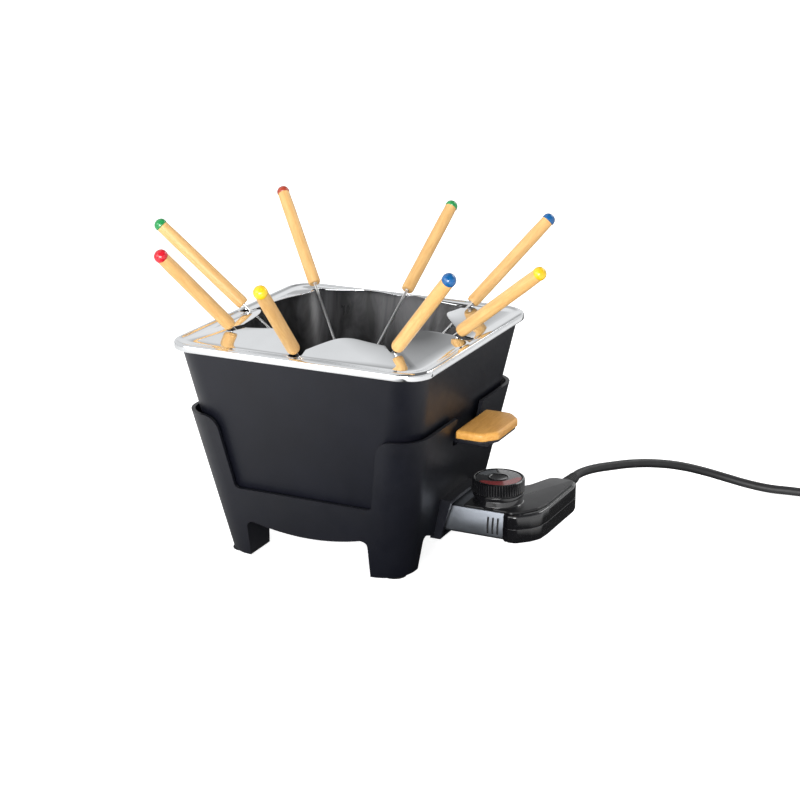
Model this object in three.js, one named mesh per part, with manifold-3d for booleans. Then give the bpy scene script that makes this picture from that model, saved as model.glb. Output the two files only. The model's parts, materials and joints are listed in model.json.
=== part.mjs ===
// Electric fondue set: a tapered base, a cast pot with side handles, a splash guard that holds
// eight forks, and a plug-in thermostat with its mains lead. Millimetres, +Z up.
// The origin is on the pot's axis, on the surface that the set stands on. +X is the thermostat's side.
import * as THREE from 'three';
import { mergeVertices } from 'three/addons/utils/BufferGeometryUtils.js';
import Module from 'manifold-3d';

const wasm = await Module();
wasm.setup();

// ---------------------------------------------------------------- driving dimensions
const GAP = 0.3;

const BASE = { foot: 76.2, taper: 0.1864, top: 116, wall: 3, corner: 25, underside: 1 };
const WINDOW = { sill: 58, sillHalf: 57, shoulder: 105, shoulderHalf: 65, topHalf: 79 };
const LEG = { frontInner: 51, sideInner: 47, roof: 30.9, skin: 2.5 };
const BAND = { edge: 30.5, dip: 24.5, sideEdge: 28.5, sideDip: 18.6 };
const SHIELD = { bottom: 31.2, thick: 1.2, half: 78.4, corner: 21, dimple: 56 };

const POT = { foot: 71.4, taper: 0.18, bottom: 44, floor: 48, wall: 3, corner: 23, rim: 169.6, flange: 102 };
const GUARD = { half: 105, corner: 22, top: 171, skirt: 165.3, sheet: 1, rolled: 2.5, flat: 92, rise: 9 };
const OPENING = { tip: 71, tipRadius: 25, slotHalf: 4.6, slotCentre: 94.7, slotMouth: 86, forks: 8 };

const HANDLE = { half: 29.5, inner: 98.5, outer: 129, bottom: 102.2, top: 109, chamfer: 9 };
const SLOT = { half: 24, sill: 93 };

const FORK = { handleRadius: 5, woodLength: 87.5, capLength: 6.5, bore: 26, shaftRadius: 1.2, reach: 118 };
// height of the handles' lower ends, in the slots at the guard's sides and at its corners
const REST = { side: 176, corner: 179.5 };
// angle round the guard, distance from its centre, tilt above the horizon and turn away from the pot's axis
const FORKS = [
  [225, 97, 45, 27], [180, 96.5, 43, 15], [135, 100.5, 46, 7], [270, 95.5, 41, 10],
  [90, 95.5, 39.5, -7], [315, 99.5, 44.5, 14], [45, 97, 42.5, 4], [0, 89, 38, -14],
];
const CAP_COLOURS = ['#c8102e', '#17924a', '#b5402a', '#e8c21a', '#2f9e4f', '#0c5fa5', '#0d5c93', '#e6bf22'];

const SLEEVE = { inner: 79.5, outer: 134, half: 21, bottom: 24.5, top: 45.5, crease: 35, wall: 1.6 };
const SHELL = { bottom: 23.5, split: 35, deck: 45.8, top: 47.3 };
const KNOB = { x: 121.6, radius: 19.9, bottom: 52.7, groove: 55.6, top: 66.2, dial: 17.4 };
const AXIS_Z = 35;
const PIN_Y = 12;

const CORD = { radius: 3.6, x: 150, y: 68, z: 41, relief: 22 };
// the lead's line from the strain relief to the coil, point by point
const CORD_ROUTE = [
  [150, 90.3, 41], [150, 95, 41], [152, 105, 40.8], [157, 119, 39.8], [164.5, 135, 37.8], [176, 159, 34],
  [190, 182, 28.7], [205, 201, 22.4], [221, 213.5, 16.2], [238, 221, 10.7], [256, 225.5, 6.4],
  [273, 228.5, 4.2], [289, 231.2, 3.8], [303, 232.6, 3.8], [316, 233, 4.2], [328, 232.8, 4.9],
];
const COIL = { x: 353, y: 277, mean: 39.3, half: 7.4, bottom: 1.5, top: 15.8 };
const PLUG = { x: 405, y: 351, z: 18.6, radius: 18.3, length: 34 };
const TAIL_ROUTE = [
  [404, 280, 5.4], [404.2, 288, 6.6], [404.5, 297, 10.6], [404.8, 305.5, 15.4],
  [405, 311, 18.3], [405, 316.5, 18.6],
];

// ---------------------------------------------------------------- small tools
const radians = THREE.MathUtils.degToRad;

function toSolid(geometry) {
  const bare = geometry.clone();
  bare.deleteAttribute('normal');
  bare.deleteAttribute('uv');
  const merged = mergeVertices(bare, 1e-4);
  return new wasm.Manifold(new wasm.Mesh({
    numProp: 3,
    vertProperties: merged.attributes.position.array,
    triVerts: new Uint32Array(merged.index.array),
  }));
}

function toGeometry(solid) {
  const mesh = solid.getMesh();
  const geometry = new THREE.BufferGeometry();
  geometry.setAttribute('position', new THREE.BufferAttribute(mesh.vertProperties, 3));
  geometry.setIndex(new THREE.BufferAttribute(mesh.triVerts, 1));
  geometry.computeVertexNormals();
  return geometry;
}

function piece(name, geometry, material) {
  const mesh = new THREE.Mesh(geometry, material);
  mesh.name = name;
  return mesh;
}

// A closed body from rings of equally many points, each anticlockwise seen from above.
function loft(rings, looped = false) {
  const sides = rings[0].length;
  const points = rings.flat();
  const faces = [];
  const bands = looped ? rings.length : rings.length - 1;
  for (let r = 0; r < bands; r += 1) {
    const low = r * sides;
    const high = ((r + 1) % rings.length) * sides;
    for (let i = 0; i < sides; i += 1) {
      const next = (i + 1) % sides;
      faces.push(low + i, low + next, high + next, low + i, high + next, high + i);
    }
  }
  if (!looped) {
    closeEnd(points, faces, 0, sides, true);
    closeEnd(points, faces, (rings.length - 1) * sides, sides, false);
  }
  const geometry = new THREE.BufferGeometry().setFromPoints(points);
  geometry.setIndex(faces);
  geometry.computeVertexNormals();
  return geometry;
}

function closeEnd(points, faces, start, sides, downwards) {
  const middle = new THREE.Vector3();
  for (let i = 0; i < sides; i += 1) middle.addScaledVector(points[start + i], 1 / sides);
  points.push(middle);
  const centre = points.length - 1;
  for (let i = 0; i < sides; i += 1) {
    const next = (i + 1) % sides;
    faces.push(centre, start + (downwards ? next : i), start + (downwards ? i : next));
  }
}

function roundedSquare(half, corner, z, steps = 6) {
  const ring = [];
  for (let quarter = 0; quarter < 4; quarter += 1) {
    for (let i = 0; i <= steps; i += 1) {
      const a = radians(90 * (quarter + i / steps));
      const turn = radians(90 * quarter + 45);
      const offset = (half - corner) * Math.SQRT2;
      const x = offset * Math.cos(turn) + corner * Math.cos(a);
      const y = offset * Math.sin(turn) + corner * Math.sin(a);
      ring.push(new THREE.Vector3(x, y, z));
    }
  }
  return ring;
}

function box(x0, x1, y0, y1, z0, z1) {
  const geometry = new THREE.BoxGeometry(x1 - x0, y1 - y0, z1 - z0);
  return geometry.translate((x0 + x1) / 2, (y0 + y1) / 2, (z0 + z1) / 2);
}

function outline(points) {
  return new THREE.Shape(points.map(([x, y]) => new THREE.Vector2(x, y)));
}

// An outline in X and Y, drawn out upwards from z0 to z1.
function prism(shape, z0, z1, curveSegments = 6) {
  const drawn = new THREE.ExtrudeGeometry(shape, { depth: z1 - z0, bevelEnabled: false, curveSegments });
  return drawn.translate(0, 0, z0);
}

// An outline in X and Z, drawn out along Y from y0 to y1.
function prismAlongY(shape, y0, y1) {
  const drawn = new THREE.ExtrudeGeometry(shape, { depth: y1 - y0, bevelEnabled: false, curveSegments: 8 });
  return drawn.rotateX(Math.PI / 2).translate(0, y1, 0);
}

// An outline in Y and Z, drawn out along X from x0 to x1.
function prismAlongX(shape, x0, x1) {
  const drawn = new THREE.ExtrudeGeometry(shape, { depth: x1 - x0, bevelEnabled: false, curveSegments: 8 });
  return drawn.rotateX(Math.PI / 2).rotateZ(Math.PI / 2).translate(x0, 0, 0);
}

function rod(radius, x0, x1, y, z, sides = 16) {
  const cylinder = new THREE.CylinderGeometry(radius, radius, x1 - x0, sides);
  return cylinder.rotateZ(Math.PI / 2).translate((x0 + x1) / 2, y, z);
}

function post(radius, x, y, z0, z1, sides = 20) {
  const cylinder = new THREE.CylinderGeometry(radius, radius, z1 - z0, sides);
  return cylinder.rotateX(Math.PI / 2).translate(x, y, (z0 + z1) / 2);
}

// A turned body about Z from [radius, z] points that start and end on the axis, or close on themselves.
function turned(points, sides = 24) {
  const profile = points.map(([r, z]) => new THREE.Vector2(r, z));
  return new THREE.LatheGeometry(profile, sides).rotateX(Math.PI / 2);
}

function tube(points, radius, steps, sides) {
  const curve = new THREE.CatmullRomCurve3(points.map((p) => new THREE.Vector3(...p)), false, 'centripetal');
  const section = new THREE.Shape();
  for (let i = 0; i < sides; i += 1) {
    const a = (2 * Math.PI * i) / sides;
    section[i ? 'lineTo' : 'moveTo'](radius * Math.cos(a), radius * Math.sin(a));
  }
  return new THREE.ExtrudeGeometry(section, { steps, extrudePath: curve, bevelEnabled: false });
}

function join(...geometries) {
  return geometries.map(toSolid).reduce((a, b) => a.add(b));
}

function cut(solid, ...geometries) {
  return geometries.map(toSolid).reduce((a, b) => a.subtract(b), solid);
}

// ---------------------------------------------------------------- materials
function paint(color, roughness, metalness) {
  return new THREE.MeshStandardMaterial({ color, roughness, metalness });
}

const BLACK_PLASTIC = paint('#25272b', 0.5, 0);
const GLOSS_BLACK = paint('#101113', 0.18, 0);
const POT_COAT = paint('#2b2d33', 0.45, 0.1);
const MIRROR_STEEL = paint('#d9dbdd', 0.08, 1);
const STEEL = paint('#b8bbbf', 0.3, 1);
const BRASS = paint('#c9b26a', 0.35, 1);
const SILVER_PAINT = paint('#a9acb4', 0.35, 0.6);
const BAMBOO = paint('#d39a4e', 0.55, 0);
const BEECH = paint('#f0c07c', 0.6, 0);
const RUBBER = paint('#1b1b1c', 0.8, 0);
const DIAL_RED = paint('#8d1f22', 0.3, 0);
const WHITE_PLASTIC = paint('#d8d6cf', 0.6, 0);

// ---------------------------------------------------------------- base
const baseHalf = (z) => BASE.foot + BASE.taper * z;

function baseSolid(inset, z0, z1) {
  const corner = BASE.corner - inset;
  return loft([z0, z1].map((z) => roundedSquare(baseHalf(z) - inset, corner, z)));
}

function baseWall() {
  const { underside, top, wall } = BASE;
  const outer = (z) => roundedSquare(baseHalf(z), BASE.corner, z);
  const inner = (z) => roundedSquare(baseHalf(z) - wall, BASE.corner - wall, z);
  return toSolid(loft([outer(underside), outer(top), inner(top), inner(underside)], true));
}

function frontWindow() {
  const { sill, sillHalf, shoulder, shoulderHalf, topHalf } = WINDOW;
  const shape = new THREE.Shape();
  shape.moveTo(-sillHalf, sill);
  shape.lineTo(sillHalf, sill);
  shape.lineTo(shoulderHalf, shoulder);
  shape.quadraticCurveTo(shoulderHalf + 2.5, BASE.top, topHalf, BASE.top + 0.5);
  shape.lineTo(topHalf, BASE.top + 10);
  shape.lineTo(-topHalf, BASE.top + 10);
  shape.lineTo(-topHalf, BASE.top + 0.5);
  shape.quadraticCurveTo(-shoulderHalf - 2.5, BASE.top, -shoulderHalf, shoulder);
  return shape;
}

function frontArch() {
  const edge = LEG.frontInner;
  const shape = new THREE.Shape();
  shape.moveTo(-edge, -5);
  shape.lineTo(edge, -5);
  shape.lineTo(edge, BAND.edge - 3);
  shape.quadraticCurveTo(edge, BAND.edge, edge - 5, BAND.edge);
  shape.quadraticCurveTo(0, BAND.dip - (BAND.edge - BAND.dip), 5 - edge, BAND.edge);
  shape.quadraticCurveTo(-edge, BAND.edge, -edge, BAND.edge - 3);
  return shape;
}

function sideArch() {
  const edge = LEG.sideInner;
  const { sideEdge, sideDip } = BAND;
  return outline([
    [-edge, -5], [edge, -5], [edge, sideEdge - 2], [edge - 2, sideEdge],
    [22, sideDip + 0.6], [19, sideDip], [-19, sideDip], [-22, sideDip + 0.6],
    [2 - edge, sideEdge], [-edge, sideEdge - 2],
  ]);
}

function handleSlot() {
  const { half, sill } = SLOT;
  const above = BASE.top + 10;
  return outline([
    [-half, sill + 3], [3 - half, sill], [half - 3, sill], [half, sill + 3], [half, above], [-half, above],
  ]);
}

function legBlocks(inset, z0, z1) {
  const x = LEG.frontInner + inset;
  const y = LEG.sideInner + inset;
  return [[1, 1], [-1, 1], [-1, -1], [1, -1]].map(([sx, sy]) => {
    const [x0, x1] = sx > 0 ? [x, 120] : [-120, -x];
    const [y0, y1] = sy > 0 ? [y, 120] : [-120, -y];
    return toSolid(box(x0, x1, y0, y1, z0, z1));
  }).reduce((a, b) => a.add(b));
}

function collar() {
  return prismAlongY(outline([[77, 18.8], [85.5, 18.8], [94.2, 51], [82, 51]]), -26.5, 26.5);
}

function baseFrame() {
  const filled = toSolid(baseSolid(0.5, BASE.underside, 40));
  const hollow = toSolid(baseSolid(BASE.wall, BASE.underside - 3, 40));
  const legs = legBlocks(0, BASE.underside, LEG.roof).intersect(filled);
  const cores = legBlocks(LEG.skin, BASE.underside - 3, LEG.roof - LEG.skin).intersect(hollow);
  const walled = cut(
    baseWall(),
    prismAlongY(frontWindow(), -120, -60),
    prismAlongY(frontWindow(), 60, 120),
    prismAlongY(frontArch(), -120, 120),
    prismAlongX(sideArch(), -120, 120),
    prismAlongX(handleSlot(), -120, -60),
    prismAlongX(handleSlot(), 60, 120),
  );
  const body = walled.add(legs).subtract(cores).add(toSolid(collar()));
  return cut(body, box(60, 110, -22.6, 22.6, 22.6, 47.4));
}

function footPad(sx, sy) {
  const inset = LEG.skin + GAP;
  const core = toSolid(baseSolid(BASE.wall + GAP, 0.4, 6));
  const x = LEG.frontInner + inset;
  const y = LEG.sideInner + inset;
  const [x0, x1] = sx > 0 ? [x, 120] : [-120, -x];
  const [y0, y1] = sy > 0 ? [y, 120] : [-120, -y];
  const plug = toSolid(box(x0, x1, y0, y1, 0.5, 5)).intersect(core);
  return plug.add(toSolid(post(9, sx * 64.5, sy * 62.5, 0, BASE.underside - GAP)));
}

function heatShield() {
  const { bottom, thick, half, corner, dimple } = SHIELD;
  const plate = toSolid(loft([bottom, bottom + thick].map((z) => roundedSquare(half, corner, z))));
  const notched = cut(plate, box(42, 90, -28, 28, bottom - 5, bottom + 5));
  const raised = [[1, 1], [-1, 1], [-1, -1], [1, -1]].map(([sx, sy]) => (
    post(6, sx * dimple, sy * dimple, bottom + 0.4, POT.bottom - GAP, 16)
  ));
  return raised.map(toSolid).reduce((a, b) => a.add(b), notched);
}

function baseGroup() {
  const group = new THREE.Group();
  group.add(piece('base_frame', toGeometry(baseFrame()), BLACK_PLASTIC));
  group.add(piece('heat_shield', toGeometry(heatShield()), STEEL));
  [[1, 1], [-1, 1], [-1, -1], [1, -1]].forEach(([sx, sy], i) => {
    group.add(piece(`rubber_foot_${i + 1}`, toGeometry(footPad(sx, sy)), RUBBER));
  });
  return group;
}

// ---------------------------------------------------------------- pot
const potHalf = (z) => POT.foot + POT.taper * z;

function potShell() {
  const { bottom, floor, wall, corner, rim, flange } = POT;
  const outer = (z, inset) => roundedSquare(potHalf(z) - inset, corner - inset, z);
  const inner = (z, inset) => roundedSquare(potHalf(z) - wall - inset, corner - wall - inset, z);
  return loft([
    outer(bottom, 8), outer(bottom + 1.8, 3), outer(bottom + 6.5, 0), outer(rim - 2.4, 0),
    roundedSquare(flange, corner - 2, rim - 1.8), roundedSquare(flange, corner - 2, rim),
    inner(rim, 0), inner(floor + 10, 0), inner(floor + 3, 2.4), inner(floor, 9),
  ]);
}

function heatingElement() {
  const points = [[49.4, PIN_Y, AXIS_Z], [47.4, PIN_Y, AXIS_Z], [43, PIN_Y + 3, 37], [37, PIN_Y + 11, 40.4]];
  for (let a = 48; a <= 312; a += 24) {
    points.push([46 * Math.cos(radians(a)), 46 * Math.sin(radians(a)), 41]);
  }
  points.push([37, -PIN_Y - 11, 40.4], [43, -PIN_Y - 3, 37], [47.4, -PIN_Y, AXIS_Z], [49.4, -PIN_Y, AXIS_Z]);
  return tube(points, 2.6, 44, 8);
}

function socketHousing() {
  const block = toSolid(box(55, 76.8, -24, 24, 24.2, POT.bottom - GAP));
  const bores = [-PIN_Y, 0, PIN_Y].map((y) => rod(2.9, 50, 83, y, AXIS_Z));
  return cut(block, ...bores);
}

function gripOutline(inner, outer, half, chamfer) {
  const shape = new THREE.Shape();
  shape.moveTo(inner, -half);
  shape.lineTo(outer - chamfer, -half);
  shape.quadraticCurveTo(outer - 1, -half, outer, chamfer - half);
  shape.lineTo(outer, half - chamfer);
  shape.quadraticCurveTo(outer - 1, half, outer - chamfer, half);
  shape.lineTo(inner, half);
  return shape;
}

function grip() {
  const { inner, outer, half, bottom, top, chamfer } = HANDLE;
  const shape = gripOutline(inner + 1, outer - 1, half - 1, chamfer);
  const edges = { bevelEnabled: true, bevelSize: 1, bevelThickness: 1, bevelSegments: 1 };
  const drawn = new THREE.ExtrudeGeometry(shape, { depth: top - bottom - 2, curveSegments: 5, ...edges });
  return drawn.translate(0, 0, bottom + 1);
}

function underlay() {
  const { inner, outer, half, bottom, chamfer } = HANDLE;
  return prism(gripOutline(inner, outer - 2, half - 2, chamfer), bottom - GAP - 2, bottom - GAP);
}

function bracket() {
  const shape = outline([[potHalf(95) + 1.2, 95.2], [124, 95.2], [124, 99.6], [potHalf(99) + 0.8, 99.6]]);
  return prismAlongY(shape, -20, 20);
}

function handleGroup(side, turn) {
  const group = new THREE.Group();
  group.add(piece(`handle_bracket_${side}`, bracket(), BLACK_PLASTIC));
  group.add(piece(`handle_underlay_${side}`, underlay(), BLACK_PLASTIC));
  group.add(piece(`handle_grip_${side}`, grip(), BAMBOO));
  group.rotation.z = turn;
  return group;
}

function potGroup() {
  const group = new THREE.Group();
  group.add(piece('pot_shell', potShell(), POT_COAT));
  group.add(piece('heating_element', heatingElement(), STEEL));
  group.add(piece('socket_housing', toGeometry(socketHousing()), BLACK_PLASTIC));
  [PIN_Y, -PIN_Y].forEach((y, i) => {
    group.add(piece(`terminal_pin_${i + 1}`, rod(2.5, 49.8, 104, y, AXIS_Z), STEEL));
  });
  group.add(handleGroup('right', 0), handleGroup('left', Math.PI));
  return group;
}

// ---------------------------------------------------------------- splash guard
// Distance from the centre to a rounded square's edge, in the direction a (radians).
function squareRadius(half, corner, a) {
  const quarter = Math.PI / 2;
  const folded = Math.abs((((a + quarter / 2) % quarter) + quarter) % quarter - quarter / 2);
  const straight = half / Math.cos(folded);
  const centre = half - corner;
  if (half * Math.tan(folded) <= centre) return straight;
  const sum = Math.cos(folded) + Math.sin(folded);
  return centre * sum + Math.sqrt(corner ** 2 - centre ** 2 * (1 - Math.sin(2 * folded)));
}

// Edge of the central opening: a rounded lobe between two fork slots. offset is from the slot, in degrees.
function openingRadius(offset) {
  const { tip, tipRadius, slotHalf, slotCentre, slotMouth, forks } = OPENING;
  const a = radians(offset);
  const side = Math.asin(slotHalf / slotCentre);
  if (a <= side) {
    const halfChord = Math.sqrt(Math.max(0, slotHalf ** 2 - (slotCentre * Math.sin(a)) ** 2));
    return slotCentre * Math.cos(a) + halfChord;
  }
  const mouth = Math.asin(slotHalf / slotMouth);
  if (a <= mouth) return slotHalf / Math.sin(a);
  const lobe = Math.PI / forks - a;
  const centre = tip + tipRadius;
  const mouthX = slotMouth * Math.cos(Math.PI / forks - mouth);
  const mouthY = slotMouth * Math.sin(Math.PI / forks - mouth);
  const reach = Math.hypot(centre - mouthX, mouthY);
  const bearing = Math.atan2(mouthY, mouthX - centre) + Math.acos(tipRadius / reach);
  const touchX = centre + tipRadius * Math.cos(bearing);
  const touchY = tipRadius * Math.sin(bearing);
  if (lobe <= Math.atan2(touchY, touchX)) {
    return centre * Math.cos(lobe) - Math.sqrt(tipRadius ** 2 - (centre * Math.sin(lobe)) ** 2);
  }
  const across = touchX * mouthY - touchY * mouthX;
  return across / (Math.cos(lobe) * (mouthY - touchY) - Math.sin(lobe) * (mouthX - touchX));
}

function guardProfile(a, offset) {
  const { half, corner, top, skirt, sheet, rolled, flat, rise } = GUARD;
  const edge = openingRadius(offset);
  const flatEdge = squareRadius(flat, 9, a);
  const flatRadius = Math.max(flatEdge, edge + 0.8);
  const outer = squareRadius(half, corner, a);
  const inside = squareRadius(half - rolled, corner - rolled, a);
  const height = (r) => top + 0.2 + rise * Math.max(0, flatEdge - r) / (flatEdge - OPENING.tip);
  const middle = (flatRadius + edge) / 2;
  return [
    [outer, skirt + 0.6], [outer, top - 1], [outer - 1.2, top],
    [flatRadius, height(flatRadius)], [middle, height(middle)], [edge, height(edge)],
    [edge, height(edge) - sheet], [middle, height(middle) - sheet], [flatRadius, height(flatRadius) - sheet],
    [inside, top - sheet], [inside, skirt], [outer - 0.6, skirt],
  ];
}

function splashGuard() {
  const slotOffsets = [OPENING.slotCentre, OPENING.slotMouth].map((r) => (
    THREE.MathUtils.radToDeg(Math.asin(OPENING.slotHalf / r))
  ));
  const offsets = [0, 1.3, 2.2, ...slotOffsets, 5, 6.7, 9, 14.8, 18.5];
  const sector = 360 / OPENING.forks;
  const columns = [];
  for (let notch = 0; notch < OPENING.forks; notch += 1) {
    offsets.forEach((offset) => columns.push([notch * sector + offset, offset]));
    columns.push([(notch + 0.5) * sector, sector / 2]);
    offsets.slice(1).reverse().forEach((offset) => columns.push([(notch + 1) * sector - offset, offset]));
  }
  const profiles = columns.map(([angle, offset]) => guardProfile(radians(angle), offset));
  const rings = profiles[0].map((_, row) => columns.map(([angle], i) => {
    const [r, z] = profiles[i][row];
    return new THREE.Vector3(r * Math.cos(radians(angle)), r * Math.sin(radians(angle)), z);
  }));
  return loft(rings, true);
}

// ---------------------------------------------------------------- forks
// Each fork is drawn upright, with the handle's lower end at its origin.
function forkShaft() {
  const { bore, shaftRadius, reach } = FORK;
  const stem = post(shaftRadius, 0, 0, 26 - reach, bore - GAP, 10);
  const half = [[1, 30], [2.2, 20], [2.2, 1.5], [1.6, 0], [0.9, 2], [0.9, 18]];
  const head = outline([...half, ...half.map(([x, z]) => [-x, z]).reverse()]);
  const plate = prism(head, -0.8, 0.8).rotateX(Math.PI / 2).rotateZ(Math.PI / 2).translate(0, 0, -reach);
  return join(stem, plate);
}

function forkHandle() {
  const { handleRadius, woodLength, bore, shaftRadius } = FORK;
  const hole = shaftRadius + GAP;
  return turned([
    [0, bore], [hole, bore], [hole, 0], [handleRadius - 1.2, 0], [handleRadius, 1.6],
    [handleRadius, woodLength - 12], [handleRadius - 0.3, woodLength], [0, woodLength],
  ], 16);
}

function forkCap() {
  const { handleRadius, woodLength, capLength } = FORK;
  const start = woodLength + GAP;
  const end = woodLength + capLength;
  return turned([
    [0, start], [handleRadius, start], [handleRadius + 0.2, start + 2.2], [handleRadius - 0.5, end - 2],
    [handleRadius - 2.2, end - 0.5], [0, end],
  ], 16);
}

function forkGroup(index, [angle, radius, tilt, turn]) {
  const z = angle % 90 === 0 ? REST.side : REST.corner;
  const group = new THREE.Group();
  group.add(piece(`fork_shaft_${index}`, toGeometry(forkShaft()), STEEL));
  group.add(piece(`fork_handle_${index}`, forkHandle(), BEECH));
  group.add(piece(`fork_cap_${index}`, forkCap(), paint(CAP_COLOURS[index - 1], 0.25, 0)));
  group.position.set(radius * Math.cos(radians(angle)), radius * Math.sin(radians(angle)), z);
  group.rotation.set(0, radians(90 - tilt), radians(angle + turn), 'ZYX');
  return group;
}

// ---------------------------------------------------------------- thermostat
function sleeveSection(inset) {
  const { half, bottom, top, crease } = SLEEVE;
  const h = half - inset;
  const low = bottom + inset;
  const high = top - inset;
  return outline([
    [-h, low + 1.5], [1.5 - h, low], [h - 1.5, low], [h, low + 1.5], [h, crease],
    [h - 2, high - 1], [h - 3, high], [3 - h, high], [2 - h, high - 1], [-h, crease],
  ]);
}

function sleeve() {
  const { inner, outer, half, wall } = SLEEVE;
  const body = toSolid(prismAlongX(sleeveSection(0), inner, outer));
  const vents = [121, 125, 129].flatMap((x) => [
    box(x, x + 1.6, -half - 2, 3 - half, 28, 41),
    box(x, x + 1.6, half - 3, half + 2, 28, 41),
  ]);
  const spindleHole = post(3.4, KNOB.x, 0, 40, 50);
  return cut(body, prismAlongX(sleeveSection(wall), inner - 5, outer + 5), spindleHole, ...vents);
}

function contactBlock() {
  const block = toSolid(box(96, 110, -17, 17, 27.2, 42.2));
  return cut(block, ...[-PIN_Y, 0, PIN_Y].map((y) => rod(2.9, 90, 104.4, y, AXIS_Z)));
}

// The arm seen from above: a broad end against the sleeve, then a bend towards +Y.
function armOutline() {
  return outline([
    [134.4, -21], [139, -23], [145, -22.5], [154, -14], [159, -5.5], [160.3, 7], [161, 39], [161.5, 58.5],
    [159.6, 68], [142, 68], [137, 64.5], [134, 57], [129.5, 45], [120, 32], [110, 23.5], [110, 21.4],
    [134.4, 21.4],
  ]);
}

function armCavity() {
  return outline([
    [136.6, -19], [144.2, -20], [152.2, -12.6], [156.8, -4.5], [158, 7.5], [158.7, 39], [159.2, 58],
    [157.8, 65.6], [142.8, 65.6], [139, 62.6], [136.2, 56], [136.6, 48],
  ]);
}

function deckOutline() {
  return outline([
    [101, -19], [136, -19], [140, -20.5], [146, -15.5], [155, -2.5], [157.6, 8], [158.5, 39], [159, 58],
    [157.4, 66.4], [143, 66.4], [138.4, 63.4], [135.6, 56.6], [130.6, 43.6], [121, 31], [110, 23], [101, 20],
  ]);
}

function armSolid() {
  const { bottom, deck, top } = SHELL;
  const arm = join(prism(armOutline(), bottom, deck), prism(deckOutline(), deck - 0.01, top));
  const hollow = cut(arm, prism(armCavity(), bottom + 2.2, deck - 1));
  const withCollar = hollow.add(toSolid(post(18.6, KNOB.x, 0, deck + 0.2, KNOB.bottom - GAP, 36)));
  const cordHole = new THREE.CylinderGeometry(3.2, 3.2, 12, 12).translate(CORD.x, CORD.y - 3, CORD.z);
  return cut(withCollar, post(3.4, KNOB.x, 0, 40, 60), cordHole);
}

function lowerShell() {
  return armSolid().intersect(toSolid(box(90, 180, -40, 90, 0, SHELL.split)));
}

function upperShell() {
  return armSolid().intersect(toSolid(box(90, 180, -40, 90, SHELL.split + GAP, 80)));
}

function controlKnob() {
  const { radius, bottom, groove, top, dial } = KNOB;
  return turned([
    [0, 60], [3.4, 60], [3.4, bottom], [radius - 0.4, bottom], [radius - 0.4, groove - 0.3],
    [radius - 1.1, groove], [radius - 1.1, groove + 0.4], [radius, groove + 0.8],
    [radius, top - 0.8], [radius - 0.7, top],
    [dial + GAP + 0.3, top], [dial + GAP, top - 2], [0, top - 2],
  ], 48).translate(KNOB.x, 0, 0);
}

function strainRelief() {
  const start = CORD.y + GAP;
  const end = CORD.y + CORD.relief;
  const body = turned([[0, 0], [5.6, 0], [5.4, 3], [CORD.radius + 0.5, end - start], [0, end - start]], 16);
  return body.rotateX(-Math.PI / 2).translate(CORD.x, start, CORD.z);
}

function thermostatGroup() {
  const group = new THREE.Group();
  group.add(piece('plug_sleeve', toGeometry(sleeve()), SILVER_PAINT));
  group.add(piece('contact_block', toGeometry(contactBlock()), WHITE_PLASTIC));
  group.add(piece('probe_rod', rod(2.5, 44, 104, 0, AXIS_Z), STEEL));
  group.add(piece('thermostat_switch', box(111, 131, -14, 14, 27.4, 42), WHITE_PLASTIC));
  group.add(piece('lower_shell', toGeometry(lowerShell()), GLOSS_BLACK));
  group.add(piece('upper_shell', toGeometry(upperShell()), GLOSS_BLACK));
  group.add(piece('strain_relief', strainRelief(), RUBBER));
  group.add(piece('knob_spindle', post(3, KNOB.x, 0, 42.4, 59.6, 16), BRASS));
  group.add(piece('control_knob', controlKnob(), GLOSS_BLACK));
  group.add(piece('knob_dial', post(KNOB.dial, KNOB.x, 0, KNOB.top - 1.7, KNOB.top - 0.8, 32), DIAL_RED));
  return group;
}

// ---------------------------------------------------------------- mains lead
function coilSolid() {
  const { x, y, mean, half, bottom, top } = COIL;
  const [r0, r1] = [mean - half, mean + half];
  const profile = [[r0, bottom], [r1, bottom], [r1, top], [r0, top], [r0, bottom]];
  return turned(profile, 40).translate(x, y, 0);
}

// A strap round the ring's section, on the side away from the set.
function coilTie() {
  const { x, y, mean, half, bottom, top } = COIL;
  const middle = y + mean;
  const reach = half + 0.6;
  const outer = toSolid(box(x - 18, x - 11, middle - reach - 2.6, middle + reach + 0.9, 0, top + 1.4));
  const ring = turned([
    [mean - half - 0.4, bottom - 0.4], [mean + half + 0.4, bottom - 0.4], [mean + half + 0.4, top + 0.4],
    [mean - half - 0.4, top + 0.4], [mean - half - 0.4, bottom - 0.4],
  ], 40).translate(x, y, 0);
  return cut(outer, ring);
}

function plugBody() {
  const { x, y, z, radius, length } = PLUG;
  const body = turned([
    [0, 0], [radius, 0], [radius, 16], [radius - 3, 21], [9, length - 8], [7, length], [0, length],
  ], 24);
  return body.rotateX(Math.PI / 2).translate(x, y, z);
}

function plugPin(x) {
  const pin = turned([[0, -19], [1.6, -19], [2.4, -17], [2.4, -GAP], [0, -GAP]], 12);
  return pin.rotateX(Math.PI / 2).translate(x, PLUG.y, PLUG.z);
}

function leadGroup() {
  const group = new THREE.Group();
  group.add(piece('mains_lead', tube(CORD_ROUTE, CORD.radius, 26, 12), RUBBER));
  group.add(piece('lead_coil', coilSolid(), RUBBER));
  group.add(piece('coil_tie', toGeometry(coilTie()), BLACK_PLASTIC));
  group.add(piece('lead_tail', tube(TAIL_ROUTE, CORD.radius, 6, 12), RUBBER));
  group.add(piece('plug_body', plugBody(), RUBBER));
  group.add(piece('plug_pin_1', plugPin(PLUG.x - 9.5), STEEL));
  group.add(piece('plug_pin_2', plugPin(PLUG.x + 9.5), STEEL));
  return group;
}

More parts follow.
